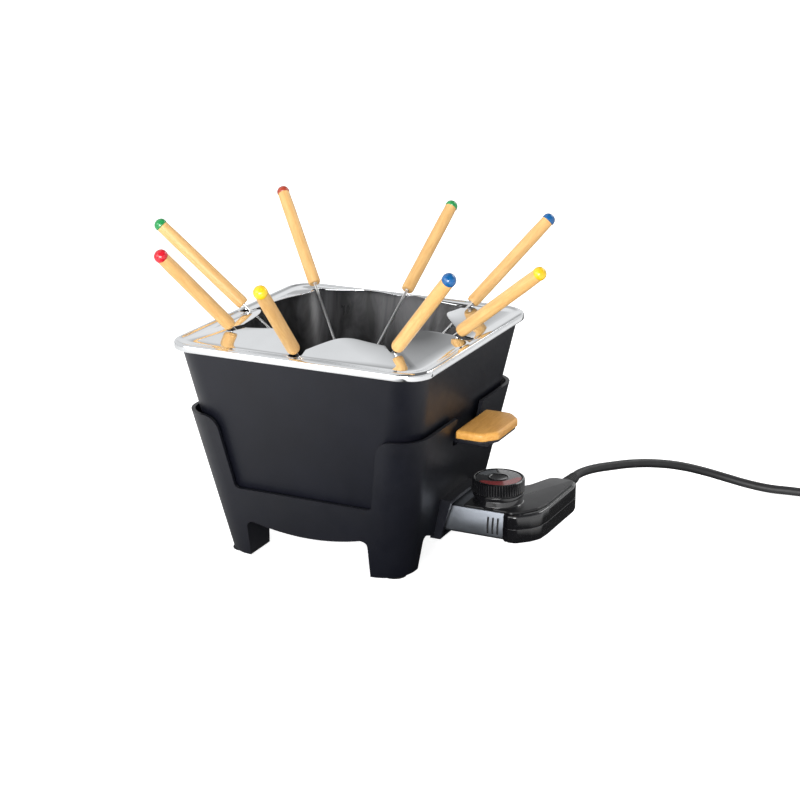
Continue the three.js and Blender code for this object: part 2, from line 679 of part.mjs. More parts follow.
// ---------------------------------------------------------------- the set
const fondueSet = new THREE.Group();
fondueSet.add(baseGroup(), potGroup());
fondueSet.add(piece('splash_guard', splashGuard(), MIRROR_STEEL));
FORKS.forEach((fork, i) => fondueSet.add(forkGroup(i + 1, fork)));
fondueSet.add(thermostatGroup(), leadGroup());

export default fondueSet;
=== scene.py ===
"""Electric fondue set: the looks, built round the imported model. Lengths are in millimetres unless a line
says otherwise; the camera and the lamps are in metres."""
import json
import math

import bmesh
import bpy
from mathutils import Matrix, Vector

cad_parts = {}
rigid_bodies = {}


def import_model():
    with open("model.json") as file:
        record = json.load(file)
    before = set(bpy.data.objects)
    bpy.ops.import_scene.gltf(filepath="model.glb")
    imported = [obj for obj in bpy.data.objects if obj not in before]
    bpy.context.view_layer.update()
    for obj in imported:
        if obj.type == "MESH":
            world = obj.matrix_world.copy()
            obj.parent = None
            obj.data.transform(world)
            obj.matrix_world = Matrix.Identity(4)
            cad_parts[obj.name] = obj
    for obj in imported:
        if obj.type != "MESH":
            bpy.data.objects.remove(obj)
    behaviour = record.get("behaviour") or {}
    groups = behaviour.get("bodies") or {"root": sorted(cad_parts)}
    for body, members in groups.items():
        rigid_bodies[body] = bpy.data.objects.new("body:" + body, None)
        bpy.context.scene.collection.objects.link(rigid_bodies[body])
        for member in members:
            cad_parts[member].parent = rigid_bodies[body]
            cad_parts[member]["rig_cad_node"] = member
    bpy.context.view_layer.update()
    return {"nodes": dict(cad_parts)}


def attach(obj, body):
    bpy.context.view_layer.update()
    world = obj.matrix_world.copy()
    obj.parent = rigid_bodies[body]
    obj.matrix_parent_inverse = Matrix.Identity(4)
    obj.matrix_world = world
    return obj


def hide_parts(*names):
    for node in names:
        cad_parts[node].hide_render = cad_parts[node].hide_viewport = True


MM = 0.001
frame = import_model()
scene = bpy.context.scene

# -------- driving dimensions, as in the frame
CAMERA = {"place": (0.6192, -1.2198, 0.5452), "looks": (-0.409225, 0.860637, -0.303050), "lens": 83.47}

BASE = {"foot": 76.2, "taper": 0.1864, "top": 116, "wall": 3, "corner": 25, "underside": 1}
WINDOW = {"sill": 58, "sill_half": 57, "shoulder": 105, "shoulder_half": 65, "top_half": 79}
LEG = {"front_inner": 51, "side_inner": 47, "roof": 30.9, "skin": 2.5}
BAND = {"edge": 30.5, "dip": 24.5, "side_edge": 28.5, "side_dip": 18.6}
SIDE_SLOT = {"half": 24, "sill": 93}

POT = {
    "foot": 71.4, "taper": 0.18, "bottom": 44, "floor": 48, "wall": 3, "corner": 23, "rim": 169.6,
    "flange": 102,
}
GUARD = {
    "half": 105, "corner": 22, "top": 171, "skirt": 165.3, "sheet": 1, "rolled": 2.5, "flat": 92, "rise": 9,
}
OPENING = {"tip": 71, "tip_radius": 25, "slot_half": 4.6, "slot_centre": 94.7, "slot_mouth": 86, "forks": 8}
GRIP = {"half": 29.5, "inner": 98.5, "outer": 129, "bottom": 102.2, "top": 109}

FORK = {"radius": 5, "wood": 87.5, "cap": 6.5, "shaft": 1.2, "reach": 118}
# height of the handles' lower ends, in the slots at the guard's sides and at its corners
REST = {"side": 176, "corner": 179.5}
# angle round the guard, distance from its centre, tilt above the horizon and turn away from the pot's axis
FORKS = [
    (225, 97, 45, 27), (180, 96.5, 43, 15), (135, 100.5, 46, 7), (270, 95.5, 41, 10),
    (90, 95.5, 39.5, -7), (315, 99.5, 44.5, 14), (45, 97, 42.5, 4), (0, 89, 38, -14),
]
CAPS = ["red", "green", "brick", "yellow", "green", "blue", "blue", "yellow"]
CAP_SLOTS = {color: f"cap_{color}" for color in ("red", "green", "yellow", "blue")} | {"brick": "cap_red"}

SLEEVE = {"inner": 79.5, "outer": 134, "half": 21, "bottom": 24.5, "top": 45.5, "crease": 35, "wall": 1.6}
SHELL = {"bottom": 23.5, "split": 35, "deck": 45.8, "top": 47.3}
KNOB = {"x": 121.6, "radius": 19.9, "bottom": 52.7, "groove": 55.6, "top": 66.2, "dial": 17.4}
RELIEF = {"x": 150, "start": 68.3, "end": 90, "z": 41}

CORD_RADIUS = 3.6
# the lead's line from the strain relief to the coil, and from the coil to the plug
CORD_ROUTE = [
    (150, 90.3, 41), (150, 95, 41), (152, 105, 40.8), (157, 119, 39.8), (164.5, 135, 37.8), (176, 159, 34),
    (190, 182, 28.7), (205, 201, 22.4), (221, 213.5, 16.2), (238, 221, 10.7), (256, 225.5, 6.4),
    (273, 228.5, 4.2), (289, 231.2, 3.8), (303, 232.6, 3.8), (316, 233, 4.2), (328, 232.8, 4.9),
]
TAIL_ROUTE = [
    (404, 280, 5.4), (404.2, 288, 6.6), (404.5, 297, 10.6), (404.8, 305.5, 15.4),
    (405, 311, 18.3), (405, 316.5, 18.6),
]
COIL = {"x": 353, "y": 277, "low": 5.2, "high": 11.7, "outside": 43.1, "inside": 35.7, "between": 39.4}
PLUG = {"x": 405, "y": 351, "z": 18.6, "radius": 18.3, "length": 34, "pins": 9.5}


# -------- mesh tools
def mesh_object(name, points, faces):
    mesh = bpy.data.meshes.new(name)
    mesh.from_pydata([Vector(p) * MM for p in points], [], faces)
    obj = bpy.data.objects.new(name, mesh)
    scene.collection.objects.link(obj)
    outward(obj)
    return obj


def outward(obj):
    work = bmesh.new()
    work.from_mesh(obj.data)
    bmesh.ops.recalc_face_normals(work, faces=work.faces)
    work.to_mesh(obj.data)
    work.free()


def rounded(corners, step=10):
    """An outline from (x, y) and (x, y, radius) corners, whose corners with a radius become arcs."""
    result = []
    for i, corner in enumerate(corners):
        here = Vector(corner[:2])
        if len(corner) < 3:
            result.append(here)
            continue
        before = Vector(corners[i - 1][:2]) - here
        after = Vector(corners[(i + 1) % len(corners)][:2]) - here
        half = before.angle(after) / 2
        reach = min(corner[2] / math.tan(half), 0.49 * before.length, 0.49 * after.length)
        radius = reach * math.tan(half)
        centre = here + (before.normalized() + after.normalized()).normalized() * radius / math.sin(half)
        start = here + before.normalized() * reach - centre
        turn = math.pi - 2 * half
        if start.cross(here + after.normalized() * reach - centre) < 0:
            turn = -turn
        steps = max(2, round(math.degrees(abs(turn)) / step))
        result += [centre + Matrix.Rotation(turn * k / steps, 2) @ start for k in range(steps + 1)]
    return result


def polar(radius, a):
    return radius * math.cos(a), radius * math.sin(a)


def bend(start, control, end, steps=10):
    a, b, c = Vector(start), Vector(control), Vector(end)
    shares = [k / steps for k in range(1, steps + 1)]
    return [a * (1 - t) ** 2 + b * 2 * t * (1 - t) + c * t * t for t in shares]


def eased(outline, rounds=2):
    """Cuts the corners off a closed outline again and again, until it runs smoothly."""
    for _ in range(rounds):
        pairs = list(zip(outline, outline[1:] + outline[:1]))
        outline = [a.lerp(b, t) for a, b in pairs for t in (0.25, 0.75)]
    return outline


def shrunk(outline, inset):
    """A smooth closed outline moved inwards by inset, along its own normals."""
    middle = sum(outline, Vector((0, 0))) / len(outline)
    area = sum((a - middle).cross(b - middle) for a, b in zip(outline, outline[1:] + outline[:1]))
    side = 1 if area > 0 else -1
    result = []
    for i, p in enumerate(outline):
        along = (outline[(i + 1) % len(outline)] - outline[i - 1]).normalized()
        result.append(p + Vector((-along.y, along.x)) * side * inset)
    return result


def slab(name, outline, bottom, top, lower_edge, upper_edge, steps=6):
    """An outline drawn upwards with its two edges rounded to their own radii."""
    rings = []
    for k in range(steps + 1):
        a = math.radians(90 * k / steps)
        rings.append((lower_edge * (1 - math.sin(a)), bottom + lower_edge * (1 - math.cos(a))))
    for k in range(steps + 1):
        a = math.radians(90 * k / steps)
        rings.append((upper_edge * (1 - math.cos(a)), top - upper_edge * (1 - math.sin(a))))
    obj = loft(name, [[(p.x, p.y, z) for p in shrunk(outline, inset)] for inset, z in rings])
    return smooth(obj, 40)


def mirrored(half):
    """The right half of an outline, from its foot to its top, closed by its mirror image."""
    return list(half) + [(-p[0], *p[1:]) for p in reversed(half)]


def drawn(name, outline, axis, start, end):
    """An outline drawn out along an axis: in XY along Z, in XZ along Y or in YZ along X."""
    order = {"X": (2, 0, 1), "Y": (0, 2, 1), "Z": (0, 1, 2)}[axis]
    count = len(outline)
    flat = [(p[0], p[1], w) for w in (start, end) for p in outline]
    points = [[spot[k] for k in order] for spot in flat]
    sides = [[i, (i + 1) % count, count + (i + 1) % count, count + i] for i in range(count)]
    return mesh_object(name, points, [list(range(count)), list(range(count, 2 * count)), *sides])


def block(name, x0, x1, y0, y1, z0, z1):
    return drawn(name, [(x0, y0), (x1, y0), (x1, y1), (x0, y1)], "Z", z0, z1)


def loft(name, rings, looped=False):
    """Rings of equally many points, joined in turn. Unless it is looped, both ends are closed."""
    count = len(rings[0])
    points = [p for ring in rings for p in ring]
    faces = []
    for r in range(len(rings) if looped else len(rings) - 1):
        low, high = r * count, (r + 1) % len(rings) * count
        faces += [[low + i, low + (i + 1) % count, high + (i + 1) % count, high + i] for i in range(count)]
    if not looped:
        faces += [list(range(count)), list(range(len(points) - count, len(points)))]
    return mesh_object(name, points, faces)


def turned(name, profile, sides=64, wave=None):
    """A body turned about Z from (radius, z) points. wave(share of a turn, point) scales the radius."""
    count = len(profile)
    points, faces = [], []
    for s in range(sides):
        a = 2 * math.pi * s / sides
        for k, (r, z) in enumerate(profile):
            radius = r * wave(s / sides, k) if wave else r
            points.append((*polar(radius, a), z))
    for s in range(sides):
        low, high = s * count, (s + 1) % sides * count
        faces += [[low + k, high + k, high + k + 1, low + k + 1] for k in range(count - 1)]
    obj = mesh_object(name, points, faces)
    merge(obj)
    return obj


def merge(obj, reach=0.002):
    work = bmesh.new()
    work.from_mesh(obj.data)
    bmesh.ops.remove_doubles(work, verts=work.verts, dist=reach * MM)
    bmesh.ops.dissolve_degenerate(work, edges=work.edges, dist=reach * MM)
    bmesh.ops.recalc_face_normals(work, faces=work.faces)
    work.to_mesh(obj.data)
    work.free()


def square_ring(half, corner, z, steps=14):
    ring = []
    for quarter in range(4):
        middle = math.radians(90 * quarter + 45)
        offset = (half - corner) * math.sqrt(2)
        for i in range(steps + 1):
            a = math.radians(90 * (quarter + i / steps))
            x = offset * math.cos(middle) + corner * math.cos(a)
            y = offset * math.sin(middle) + corner * math.sin(a)
            ring.append((x, y, z))
    return ring


def spun(degrees, axis):
    return Matrix.Rotation(math.radians(degrees), 4, axis)


def placed(obj, x=0.0, y=0.0, z=0.0, turn=None):
    """Moves the mesh itself to (x, y, z), after turn, a rotation matrix."""
    spot = Matrix.Translation(Vector((x, y, z)) * MM)
    obj.data.transform(spot @ turn if turn else spot)
    return obj


def combine(target, operation, *tools):
    for tool in tools:
        step = target.modifiers.new("Combine", "BOOLEAN")
        step.operation = operation
        step.solver = "EXACT"
        step.object = tool
        graph = bpy.context.evaluated_depsgraph_get()
        made = bpy.data.meshes.new_from_object(target.evaluated_get(graph))
        target.modifiers.clear()
        target.data = made
        bpy.data.objects.remove(tool)
    merge(target)
    return target


def cut(target, *tools):
    return combine(target, "DIFFERENCE", *tools)


def join(target, *tools):
    return combine(target, "UNION", *tools)


def flatten(obj, degrees=0.5):
    """Joins the faces that lie in one plane, so that a bevel has clean edges to follow."""
    work = bmesh.new()
    work.from_mesh(obj.data)
    bmesh.ops.dissolve_limit(
        work, angle_limit=math.radians(degrees), verts=work.verts, edges=work.edges, delimit={"MATERIAL"}
    )
    work.to_mesh(obj.data)
    work.free()


def smooth(obj, degrees=32):
    obj.data.polygons.foreach_set("use_smooth", [True] * len(obj.data.polygons))
    obj.data.set_sharp_from_angle(angle=math.radians(degrees))
    return obj


def soften(obj, width, segments=3, degrees=32):
    """Rounds the edges with a bevel modifier, which leaves the mesh as it is."""
    if "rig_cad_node" not in obj:
        obj.data.polygons.foreach_set("use_smooth", [True] * len(obj.data.polygons))
    bevel = obj.modifiers.new("Rounded edges", "BEVEL")
    bevel.width = width * MM
    bevel.segments = segments
    bevel.limit_method = "ANGLE"
    bevel.angle_limit = math.radians(degrees)
    bevel.miter_outer = "MITER_ARC"
    bevel.harden_normals = True
    return obj


def finish_piece(obj, body, material, slot, *nodes):
    """Gives a piece its materials, by name, and its body, and hides the CAD nodes that it stands for. The
    record slot is not used.
    """
    obj.data.materials.clear()
    for each in [material] if isinstance(material, str) else material:
        obj.data.materials.append(MATERIALS[each])
    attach(obj, body)
    if nodes:
        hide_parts(*nodes)
    return obj


def paint_faces(obj, index, chosen):
    """Gives material number index to the faces for which chosen(centre in mm, normal) is true."""
    for face in obj.data.polygons:
        if chosen(face.center / MM, face.normal):
            face.material_index = index


# -------- materials
def shader(name, color, roughness, metallic=0.0, **settings):
    material = bpy.data.materials.new(name)
    material.use_nodes = True
    surface = material.node_tree.nodes["Principled BSDF"]
    surface.inputs["Base Color"].default_value = (*color, 1)
    surface.inputs["Roughness"].default_value = roughness
    surface.inputs["Metallic"].default_value = metallic
    for key, value in settings.items():
        surface.inputs[key.replace("_", " ").title().replace("Ior", "IOR")].default_value = value
    return material


def scaled(color, factor):
    return tuple(min(1.0, factor * c) for c in color)


def node(owner, kind, inputs=None, **settings):
    """Adds a shader node to a material or the world. An input is a value or another node's socket."""
    made = owner.node_tree.nodes.new("ShaderNode" + kind)
    for key, value in settings.items():
        setattr(made, key, value)
    for key, value in (inputs or {}).items():
        if isinstance(value, bpy.types.NodeSocket):
            owner.node_tree.links.new(value, made.inputs[key])
        else:
            made.inputs[key].default_value = value
    return made


def surface_input(material, key, socket):
    surface = material.node_tree.nodes["Principled BSDF"]
    material.node_tree.links.new(socket, surface.inputs[key])


def noise(material, scale, stretch=(1, 1, 1), detail=3.0, roughness=0.55, distortion=0.0):
    where = node(material, "TexCoord").outputs["Object"]
    mapped = node(material, "Mapping", {"Vector": where, "Scale": stretch}).outputs["Vector"]
    inputs = {
        "Vector": mapped, "Scale": scale, "Detail": detail, "Roughness": roughness, "Distortion": distortion,
    }
    return node(material, "TexNoise", inputs).outputs["Fac"]


def ramp(material, value, low, high, start=0.35, end=0.65):
    made = node(material, "ValToRGB", {"Fac": value})
    made.color_ramp.elements[0].position = start
    made.color_ramp.elements[1].position = end
    made.color_ramp.elements[0].color = (*low, 1)
    made.color_ramp.elements[1].color = (*high, 1)
    return made.outputs["Color"]


def vary_color(material, value, low, high, start=0.35, end=0.65):
    surface_input(material, "Base Color", ramp(material, value, low, high, start, end))


def vary_roughness(material, value, low, high):
    inputs = {"Value": value, "From Min": 0.3, "From Max": 0.7, "To Min": low, "To Max": high}
    surface_input(material, "Roughness", node(material, "MapRange", inputs).outputs["Result"])


def relief(material, value, height, strength=1.0):
    """Bump from a value; height is in millimetres."""
    inputs = {"Height": value, "Distance": height * MM, "Strength": strength}
    surface_input(material, "Normal", node(material, "Bump", inputs).outputs["Normal"])


def satin_black(name, color, roughness, shine=0.5):
    """Dark moulded or coated surface: a fine texture, faint clouding and a few duller patches."""
    material = shader(name, color, roughness, Specular_ior_level=shine)
    vary_color(material, noise(material, 22), scaled(color, 0.86), scaled(color, 1.12))
    vary_roughness(material, noise(material, 60), roughness - 0.03, roughness + 0.05)
    relief(material, noise(material, 1400, detail=2), 0.05, 0.35)
    return material


def reflection_streaked(name):
    """The non-stick inside: dark, with soft pale streaks up and down painted into its colour as a painted
    reflection.
    """
    material = shader(name, (0.03, 0.03, 0.032), 0.3)
    reflection_streaks = noise(material, 30, (1, 1, 0.3), detail=5, roughness=0.62, distortion=1.1)
    # painted reflection: the pale streaks in the colour stand in for reflections on the inside walls
    vary_color(material, reflection_streaks, (0.030, 0.030, 0.032), (0.20, 0.20, 0.21), 0.40, 0.78)
    vary_roughness(material, reflection_streaks, 0.24, 0.46)
    relief(material, noise(material, 1500, detail=2), 0.03, 0.3)
    return material


def gloss_black(name):
    material = shader(name, (0.005, 0.005, 0.006), 0.14, Coat_weight=0.9, Coat_roughness=0.05)
    vary_color(material, noise(material, 40), (0.004, 0.004, 0.005), (0.007, 0.007, 0.008))
    vary_roughness(material, noise(material, 90, detail=5), 0.11, 0.2)
    relief(material, noise(material, 500), 0.01, 0.2)
    return material


def metal(name, color, roughness, stretch=(1, 1, 1), scale=300, height=0.006):
    """Bare metal with a faint grain, drawn out where stretch is not even, and slight smudges."""
    material = shader(name, color, roughness, 1.0)
    vary_color(material, noise(material, scale, stretch), scaled(color, 0.95), scaled(color, 1.06))
    vary_roughness(material, noise(material, 35, detail=6), 0.8 * roughness, 1.3 * roughness)
    if height:
        relief(material, noise(material, scale, stretch, detail=4), height, 0.3)
    return material


def wood(name, light, dark, along, ring, roughness):
    """Wood with its grain along the axis whose stretch is smallest, with fine pores and slow bands."""
    material = shader(name, light, roughness, Coat_weight=0.12, Coat_roughness=0.3)
    bands = noise(material, ring, along, detail=2, distortion=0.6)
    pores = noise(material, ring * 7, along, detail=5, roughness=0.7)
    mixed = node(
        material, "Mix", {"Factor": 0.45, "A": bands, "B": pores}, data_type="FLOAT"
    ).outputs["Result"]
    vary_color(material, mixed, dark, light, 0.36, 0.6)
    vary_roughness(material, pores, roughness + 0.06, roughness - 0.06)
    relief(material, pores, 0.05, 0.4)
    return material


def rubber(name, color, roughness):
    material = shader(name, color, roughness)
    vary_color(material, noise(material, 70), scaled(color, 0.8), scaled(color, 1.25))
    vary_roughness(material, noise(material, 200), roughness - 0.05, roughness + 0.06)
    relief(material, noise(material, 2200, detail=2), 0.04, 0.4)
    return material


def bright_plastic(name, color, roughness=0.12):
    material = shader(name, color, roughness, Coat_weight=0.5, Coat_roughness=0.04)
    vary_color(material, noise(material, 120), scaled(color, 0.9), scaled(color, 1.08))
    vary_roughness(material, noise(material, 250), roughness - 0.03, roughness + 0.05)
    relief(material, noise(material, 700), 0.01, 0.2)
    return material


COLORS = {
    "red": (0.58, 0.006, 0.02), "brick": (0.40, 0.05, 0.022), "green": (0.015, 0.27, 0.07),
    "yellow": (0.83, 0.53, 0.012), "blue": (0.003, 0.10, 0.30),
}
MATERIALS = {
    "base": satin_black("Satin black plastic", (0.0040, 0.0046, 0.0085), 0.40),
    "pot": satin_black("Satin pot coating", (0.0042, 0.0048, 0.0090), 0.38, 0.45),
    "inside": reflection_streaked("Non-stick inside"),
    "deck": satin_black("Fine black texture", (0.012, 0.012, 0.013), 0.3),
    "gloss": gloss_black("Gloss black"),
    "mirror": metal("Polished steel", (0.82, 0.83, 0.84), 0.05, scale=12, height=0),
    "steel": metal("Drawn steel", (0.8, 0.8, 0.8), 0.34, (14, 14, 1), 90),
    "sheet": metal("Rolled steel sheet", (0.58, 0.58, 0.57), 0.32, (1, 16, 1), 60),
    "brass": metal("Brass", (0.68, 0.5, 0.2), 0.28),
    "silver": metal("Silver paint", (0.29, 0.31, 0.345), 0.36, scale=2600, height=0.02),
    "beech": wood("Beech", (0.79, 0.49, 0.19), (0.67, 0.365, 0.12), (9, 9, 1), 45, 0.5),
    "bamboo": wood("Bamboo", (0.80, 0.42, 0.10), (0.66, 0.30, 0.055), (7, 1, 7), 60, 0.42),
    "rubber": rubber("Black rubber", (0.014, 0.014, 0.015), 0.62),
    "lead": rubber("Lead jacket", (0.013, 0.013, 0.014), 0.5),
    "white": bright_plastic("White plastic", (0.72, 0.70, 0.64), 0.35),
    "dial_red": bright_plastic("Dial red", (0.27, 0.012, 0.014)),
    "dial_grey": bright_plastic("Dial grey", (0.13, 0.14, 0.15), 0.3),
    **{name: bright_plastic(f"Cap {name}", color) for name, color in COLORS.items()},
}


# -------- camera, light and floor
def look(obj, direction):
    obj.rotation_mode = "QUATERNION"
    obj.rotation_quaternion = Vector(direction).to_track_quat("-Z", "Y")


def make_camera():
    camera = bpy.data.objects.new("Camera", bpy.data.cameras.new("Camera"))
    camera.location = CAMERA["place"]
    look(camera, CAMERA["looks"])
    camera.data.lens = CAMERA["lens"]
    camera.data.sensor_width = 36
    camera.data.clip_start = 0.05
    camera.data.clip_end = 50
    scene.collection.objects.link(camera)
    scene.camera = camera


def softbox(name, place, width, height, power, reflected=True, aim=(0, 0, 0.1)):
    lamp = bpy.data.lights.new(name, "AREA")
    lamp.shape = "RECTANGLE"
    lamp.size = width
    lamp.size_y = height
    lamp.energy = power
    box = bpy.data.objects.new(name, lamp)
    box.location = place
    look(box, Vector(aim) - Vector(place))
    box.visible_glossy = reflected
    scene.collection.objects.link(box)


def make_world():
    """A dim studio with a pale band above the horizon and a wide light high on the left."""
    world = bpy.data.worlds.new("Studio")
    world.use_nodes = True
    scene.world = world
    where = node(world, "TexCoord").outputs["Generated"]
    height = node(world, "SeparateXYZ", {0: where}).outputs["Z"]
    falling = {"Value": height, "From Min": 0.26, "From Max": 0.56, "To Min": 0.85, "To Max": 0.0}
    band = node(world, "MapRange", falling).outputs["Result"]
    high_left = Vector((-0.8, 0.1, 0.6)).normalized()
    towards = node(world, "VectorMath", {0: where, 1: high_left}, operation="DOT_PRODUCT")
    rising = {"Value": towards.outputs["Value"], "From Min": 0.62, "From Max": 0.8, "To Max": 0.8}
    wide = node(world, "MapRange", rising).outputs["Result"]
    brighter = node(world, "Math", {0: band, 1: wide}, operation="MAXIMUM").outputs["Value"]
    shade = node(world, "MapRange", {"Value": brighter, "To Min": 0.17, "To Max": 1.0})
    background = world.node_tree.nodes["Background"]
    world.node_tree.links.new(shade.outputs["Result"], background.inputs["Strength"])
    background.inputs["Color"].default_value = (0.98, 0.99, 1, 1)


def make_floor():
    """White to the camera. To other rays it is dark, with a painted pool of light on the left and on the
    right, which glossy surfaces reflect.
    """
    half = 14000
    corners = [(-half, -half, 0), (half, -half, 0), (half, half, 0), (-half, half, 0)]
    floor = mesh_object("Floor", corners, [[0, 1, 2, 3]])
    material = shader("Floor", (0.9, 0.9, 0.9), 0.8, Emission_strength=0.8)
    material.node_tree.nodes["Principled BSDF"].inputs["Emission Color"].default_value = (1, 1, 1, 1)
    where = node(material, "TexCoord").outputs["Object"]
    painted_light_pools = []
    # painted light: a pale pool on the left and one on the right, painted on the floor for reflected rays
    for direction, start, end in (((-0.9, -0.43, 0), 0.0, 0.26), ((1, 0, 0), 0.22, 0.27)):
        away = node(material, "VectorMath", {0: where, 1: direction}, operation="DOT_PRODUCT")
        lit = {"Value": away.outputs["Value"], "From Min": start, "From Max": end, "To Min": 0.05}
        painted_light_pools.append(node(material, "MapRange", lit).outputs["Result"])
    shade = node(material, "Math", {0: painted_light_pools[0], 1: painted_light_pools[1]}, operation="MAXIMUM")
    pool_lit_floor = node(material, "BsdfDiffuse", {"Color": shade.outputs["Value"]}).outputs["BSDF"]
    seen = node(material, "LightPath").outputs["Is Camera Ray"]
    white = material.node_tree.nodes["Principled BSDF"].outputs["BSDF"]
    mixed = node(material, "MixShader", {0: seen, 1: pool_lit_floor, 2: white}).outputs["Shader"]
    material.node_tree.links.new(mixed, material.node_tree.nodes["Material Output"].inputs["Surface"])
    floor.data.materials.append(material)


# -------- mains lead
def coil_points():
    """Two turns side by side on the table, one in the groove above them, then down the outside."""
    low, high = COIL["low"], COIL["high"]
    outside, inside, between = COIL["outside"], COIL["inside"], COIL["between"]
    # angle from where the lead meets the coil, in degrees, with the radius and height there
    stages = [
        (0, outside, low), (300, outside, low), (360, inside, low), (660, inside, low),
        (725, between, high), (1010, between, high), (1050, outside + 0.4, high + 1.1),
        (1085, outside + 4.2, high - 0.4), (1115, outside + 7.3, low + 2.2),
        (1140, outside + 7.7, low + 0.1), (1170, outside + 7.8, low + 0.1),
    ]
    points = []
    for (a0, r0, z0), (a1, r1, z1) in zip(stages, stages[1:]):
        steps = max(1, round((a1 - a0) / 18))
        for k in range(steps):
            t = k / steps
            blend = t * t * (3 - 2 * t)
            a = math.radians(a0 + (a1 - a0) * t - 90)
            r = r0 + (r1 - r0) * blend
            z = z0 + (z1 - z0) * blend
            points.append((COIL["x"] + r * math.cos(a), COIL["y"] + r * math.sin(a), z))
    return points


def make_lead():
    start = [(150, 86, 41)]
    join_up = [(340, 233.2, 5.1)]
    points = start + CORD_ROUTE + join_up + coil_points() + TAIL_ROUTE
    curve = bpy.data.curves.new("mains_cord", "CURVE")
    curve.dimensions = "3D"
    curve.resolution_u = 6
    curve.bevel_depth = CORD_RADIUS * MM
    curve.bevel_resolution = 5
    curve.use_fill_caps = True
    spline = curve.splines.new("BEZIER")
    spline.bezier_points.add(len(points) - 1)
    for knot, point in zip(spline.bezier_points, points):
        knot.co = Vector(point) * MM
        knot.handle_left_type = knot.handle_right_type = "AUTO"
    cord = bpy.data.objects.new("mains_cord", curve)
    scene.collection.objects.link(cord)
    finish_piece(cord, "thermostat", "lead", "lead_rubber", "mains_lead", "lead_coil", "lead_tail")
    tie, body, pins = make_tie(), make_plug(), make_plug_pins()


def strap_section(radius):
    """A strap pulled tight round the coil's three turns, at that distance from their middles."""
    low, high = COIL["low"], COIL["high"]
    turns = [(COIL["inside"], low), (COIL["outside"], low), (COIL["between"], high)]
    outline = []
    for i, (r, z) in enumerate(turns):
        before = Vector((r, z)) - Vector(turns[i - 1])
        after = Vector(turns[(i + 1) % 3]) - Vector((r, z))
        first = math.atan2(before.y, before.x) - math.pi / 2
        turn = (math.atan2(after.y, after.x) - math.pi / 2 - first) % (2 * math.pi)
        angles = [first + turn * k / 8 for k in range(9)]
        outline += [(r + radius * math.cos(a), z + radius * math.sin(a)) for a in angles]
    return outline


def make_tie():
    """A soft strap round the three turns, with its loose end lapped over on top."""
    inner, outer = strap_section(CORD_RADIUS + 0.15), strap_section(CORD_RADIUS + 1.15)
    edges = ((-3.5, inner), (-3.5, outer), (3.5, outer), (3.5, inner))
    strap = loft("coil_strap", [[(p[0], w, p[1]) for p in outline] for w, outline in edges], looped=True)
    lap = rounded([(36.4, 16.1, 1), (42.4, 16.1, 1), (42.4, 17.2, 0.5), (36.4, 17.2, 0.5)])
    join(strap, drawn("Lap", lap, "Y", -3.1, 3.1))
    placed(strap, COIL["x"], COIL["y"], 0, spun(110, "Z"))
    soften(strap, 0.25, 2)
    return finish_piece(strap, "thermostat", "rubber", "black_plastic", "coil_tie")


def make_plug():
    radius, length = PLUG["radius"], PLUG["length"]
    profile = [(0, 1.4), (14.8, 1.4, 0.6), (15.6, 0, 0.6), (radius, 0, 1.2), (radius, 14, 1.5)]
    for k in range(3):
        z = 14.5 + 2.6 * k
        taper = 0.9 * k
        profile += [(radius - 1.2 - taper, z + 0.6, 0.4), (radius - 0.4 - taper, z + 1.8, 0.5)]
    profile += [(radius - 5.5, 24.5, 3), (8.6, 27.5, 3), (7.6, length - 1, 0.8), (0, length - 1)]
    body = turned("plug_shell", rounded(profile), 72)
    for side in (-1, 1):
        cut(body, block("Notch", -3.2, 3.2, side * (radius - 2.2) - 3, side * (radius - 2.2) + 3, -2, 12))
    upright = spun(90, "X")
    placed(body, PLUG["x"], PLUG["y"], PLUG["z"], upright)
    flatten(body)
    smooth(body)
    return finish_piece(body, "thermostat", "rubber", "rubber", "plug_body")


def make_plug_pins():
    pins = []
    for number, side in ((1, -1), (2, 1)):
        profile = rounded([(0, -19), (2.4, -19, 1.6), (2.4, -9), (2.15, -8.8), (2.15, 1.2), (0, 1.2)])
        pin = turned(f"mains_pin_{number}", profile, 32)
        placed(pin, PLUG["x"] + side * PLUG["pins"], PLUG["y"], PLUG["z"], spun(90, "X"))
        smooth(pin)
        finish_piece(pin, "thermostat", "steel", "steel", f"plug_pin_{number}")
        pins.append(pin)
    return pins


# -------- base
def base_half(z):
    return BASE["foot"] + BASE["taper"] * z


def base_block(name, inset, z0, z1):
    return loft(name, [square_ring(base_half(z) - inset, BASE["corner"] - inset, z) for z in (z0, z1)])


def front_window(name, y0, y1):
    shoulder = (WINDOW["shoulder_half"], WINDOW["shoulder"])
    top = (WINDOW["top_half"], BASE["top"] + 0.5)
    sill = rounded([(0, WINDOW["sill"]), (WINDOW["sill_half"], WINDOW["sill"], 4), shoulder])[1:]
    curve = bend(shoulder, (WINDOW["shoulder_half"] + 2.5, BASE["top"]), top, 12)
    right = [tuple(p) for p in sill + curve] + [(WINDOW["top_half"], BASE["top"] + 10)]
    return drawn(name, mirrored(right), "Y", y0, y1)


def front_arch():
    edge, high, dip = LEG["front_inner"], BAND["edge"], BAND["dip"]
    right = [(edge, -5), (edge, high - 5)] + bend((edge, high - 5), (edge, high), (edge - 6, high), 6)
    control = 2 * dip - high
    sweep = bend((edge - 6, high), (0, control), (6 - edge, high), 32)[:-1]
    left = [(-p[0], p[1]) for p in reversed(right)]
    return drawn("Arch", [tuple(p) for p in right + sweep + left], "Y", -120, 120)


def side_arch():
    edge, high, dip = LEG["side_inner"], BAND["side_edge"], BAND["side_dip"]
    outline = rounded(mirrored([(edge, -5), (edge, high, 4), (20, dip, 5)]))
    return drawn("Arch", outline, "X", -120, 120)


